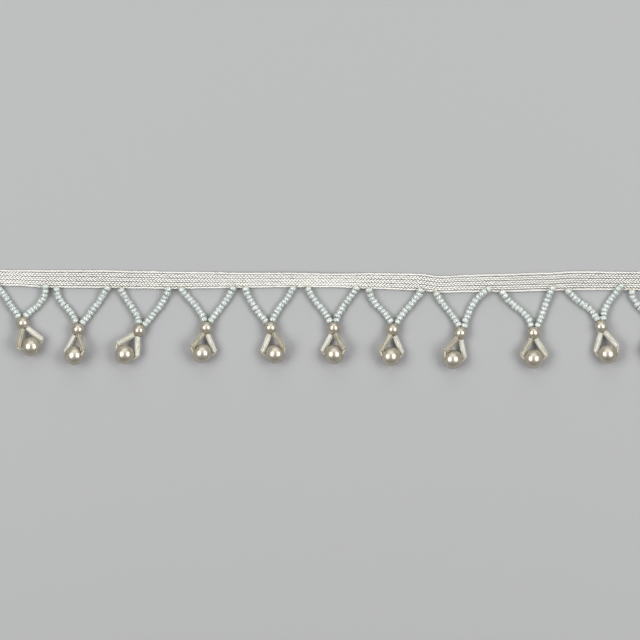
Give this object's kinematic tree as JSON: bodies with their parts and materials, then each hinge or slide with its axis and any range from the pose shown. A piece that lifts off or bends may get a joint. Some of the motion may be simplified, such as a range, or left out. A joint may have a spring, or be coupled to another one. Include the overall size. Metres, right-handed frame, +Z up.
{
  "type": "beaded fringe trim",
  "caption": "Ribbed flat braid edged with V-shaped strings of seed beads, each ending in a small pearl, slanting bugle beads and a larger drop pearl, lying face up.",
  "frame": {"origin": "on the surface that the trim lies on, under the middle of the whole trim's box", "axes": "+X along the braid, +Y from the pearls to the braid, +Z up out of the trim's face"},
  "size_m": [0.222, 0.031, 0.007],
  "materials": {
    "braid": "matt braided yarn with a slight sheen",
    "seed_beads": "opaque pale lustre glass",
    "pearl": "champagne pearl coating with a satin gloss",
    "bugle": "ivory satin glass with fine lines along it"
  },
  "bodies": {
    "root": {"heading_braid": "braid", "beaded_fringe": "seed_beads", "small_pearl_01": "pearl", "small_pearl_02": "pearl", "small_pearl_03": "pearl", "small_pearl_04": "pearl", "small_pearl_05": "pearl", "small_pearl_06": "pearl", "small_pearl_07": "pearl", "small_pearl_08": "pearl", "small_pearl_09": "pearl", "small_pearl_10": "pearl", "small_pearl_11": "pearl", "large_pearl_01": "pearl", "large_pearl_02": "pearl", "large_pearl_03": "pearl", "large_pearl_04": "pearl", "large_pearl_05": "pearl", "large_pearl_06": "pearl", "large_pearl_07": "pearl", "large_pearl_08": "pearl", "large_pearl_09": "pearl", "large_pearl_10": "pearl", "large_pearl_11": "pearl", "bugle_01_left": "bugle", "bugle_01_right": "bugle", "bugle_02_left": "bugle", "bugle_02_right": "bugle", "bugle_03_left": "bugle", "bugle_03_right": "bugle", "bugle_04_left": "bugle", "bugle_04_right": "bugle", "bugle_05_left": "bugle", "bugle_05_right": "bugle", "bugle_06_left": "bugle", "bugle_06_right": "bugle", "bugle_07_left": "bugle", "bugle_07_right": "bugle", "bugle_08_left": "bugle", "bugle_08_right": "bugle", "bugle_09_left": "bugle", "bugle_09_right": "bugle", "bugle_10_left": "bugle", "bugle_10_right": "bugle", "bugle_11_left": "bugle", "bugle_11_right": "bugle"}
  },
  "joints": []
}
